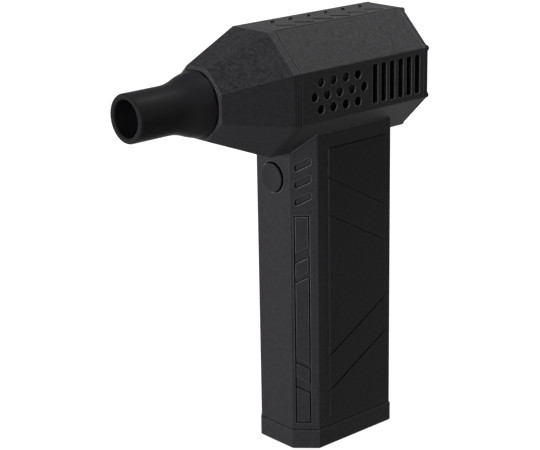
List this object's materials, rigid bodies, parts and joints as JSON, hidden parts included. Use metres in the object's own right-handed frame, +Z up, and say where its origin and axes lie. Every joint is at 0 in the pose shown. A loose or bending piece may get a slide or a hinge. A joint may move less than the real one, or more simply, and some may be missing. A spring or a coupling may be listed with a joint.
{
  "type": "cordless blower",
  "caption": "Small cordless jet blower: octagonal fan barrel with vents, faceted front cone and round push-fit nozzle on an upright battery grip with a push button.",
  "frame": {"origin": "middle of the base cap's flat underside, on the ground", "axes": "+Z up along the grip, -Y along the barrel towards the nozzle, X across"},
  "size_m": [0.046, 0.1272, 0.165],
  "materials": {
    "housing_plastic": "fine spark-eroded grain, matte black",
    "panel_plastic": "fine grain, matte black",
    "nozzle_plastic": "smooth satin black",
    "button_plastic": "smooth satin black",
    "seal_rubber": "black rubber",
    "filter_foam": "open-cell foam, dark grey",
    "duct_plastic": "moulded, dark grey",
    "frame_plastic": "moulded, off-white",
    "fan_alloy": "machined",
    "bright_steel": "ground",
    "motor_steel": "turned",
    "core_steel": "laminated",
    "copper": "enamelled copper",
    "screw_steel": "blackened",
    "board_green": "solder-masked board",
    "component_black": "moulded",
    "plunger_plastic": "moulded",
    "capacitor_can": "sleeved can",
    "cell_sleeve": "plastic sleeve on a metal can",
    "nickel": "nickel strip",
    "socket_steel": "stamped",
    "motor_lead_cover": "silicone insulation",
    "battery_lead_cover": "silicone insulation",
    "switch_lead_cover": "thin insulation"
  },
  "bodies": {
    "housing": {"barrel_shell": "housing_plastic", "front_cone": "housing_plastic", "rear_cover": "housing_plastic", "grip_shell": "housing_plastic", "base_cap": "housing_plastic", "side_panel_right": "panel_plastic", "side_panel_left": "panel_plastic", "duct_gasket": "seal_rubber", "front_damper": "seal_rubber", "intake_filter": "filter_foam", "fan_duct": "duct_plastic", "tail_cone": "duct_plastic", "battery_frame_bottom": "frame_plastic", "battery_frame_top": "frame_plastic", "rear_bearing": "bright_steel", "front_bearing": "bright_steel", "motor_can": "motor_steel", "motor_end_bell": "motor_steel", "stator_core": "core_steel", "stator_windings": "copper", "motor_screws": "screw_steel", "base_screws": "screw_steel", "neck_screws": "screw_steel", "driver_board": "board_green", "switch_board": "board_green", "charge_board": "board_green", "power_transistors": "component_black", "tact_switch": "component_black", "capacitors": "capacitor_can", "battery_cell_front": "cell_sleeve", "battery_cell_rear": "cell_sleeve", "cell_straps": "nickel", "usb_socket": "socket_steel", "motor_leads": "motor_lead_cover", "battery_leads": "battery_lead_cover", "charge_leads": "battery_lead_cover", "switch_leads": "switch_lead_cover"},
    "rotor": {"impeller": "fan_alloy", "impeller_nut": "bright_steel", "motor_shaft": "bright_steel", "rotor_magnet": "core_steel"},
    "button": {"power_button": "button_plastic", "switch_plunger": "plunger_plastic"},
    "nozzle": {"nozzle": "nozzle_plastic", "nozzle_seal": "seal_rubber"}
  },
  "joints": [
    {"name": "impeller_spin", "type": "hinge", "parent": "housing", "child": "rotor", "pos_m": [0, 0, 0.142], "axis": [0, -1, 0], "continuous": true},
    {"name": "button_press", "type": "slide", "parent": "housing", "child": "button", "axis": [0, 1, 0], "range_m": [0, 0.001], "stiffness_N_per_m": 3000, "springref_m": -0.0004},
    {"name": "nozzle_pull", "type": "slide", "parent": "housing", "child": "nozzle", "axis": [0, -1, 0], "range_m": [0, 0.03]}
  ]
}
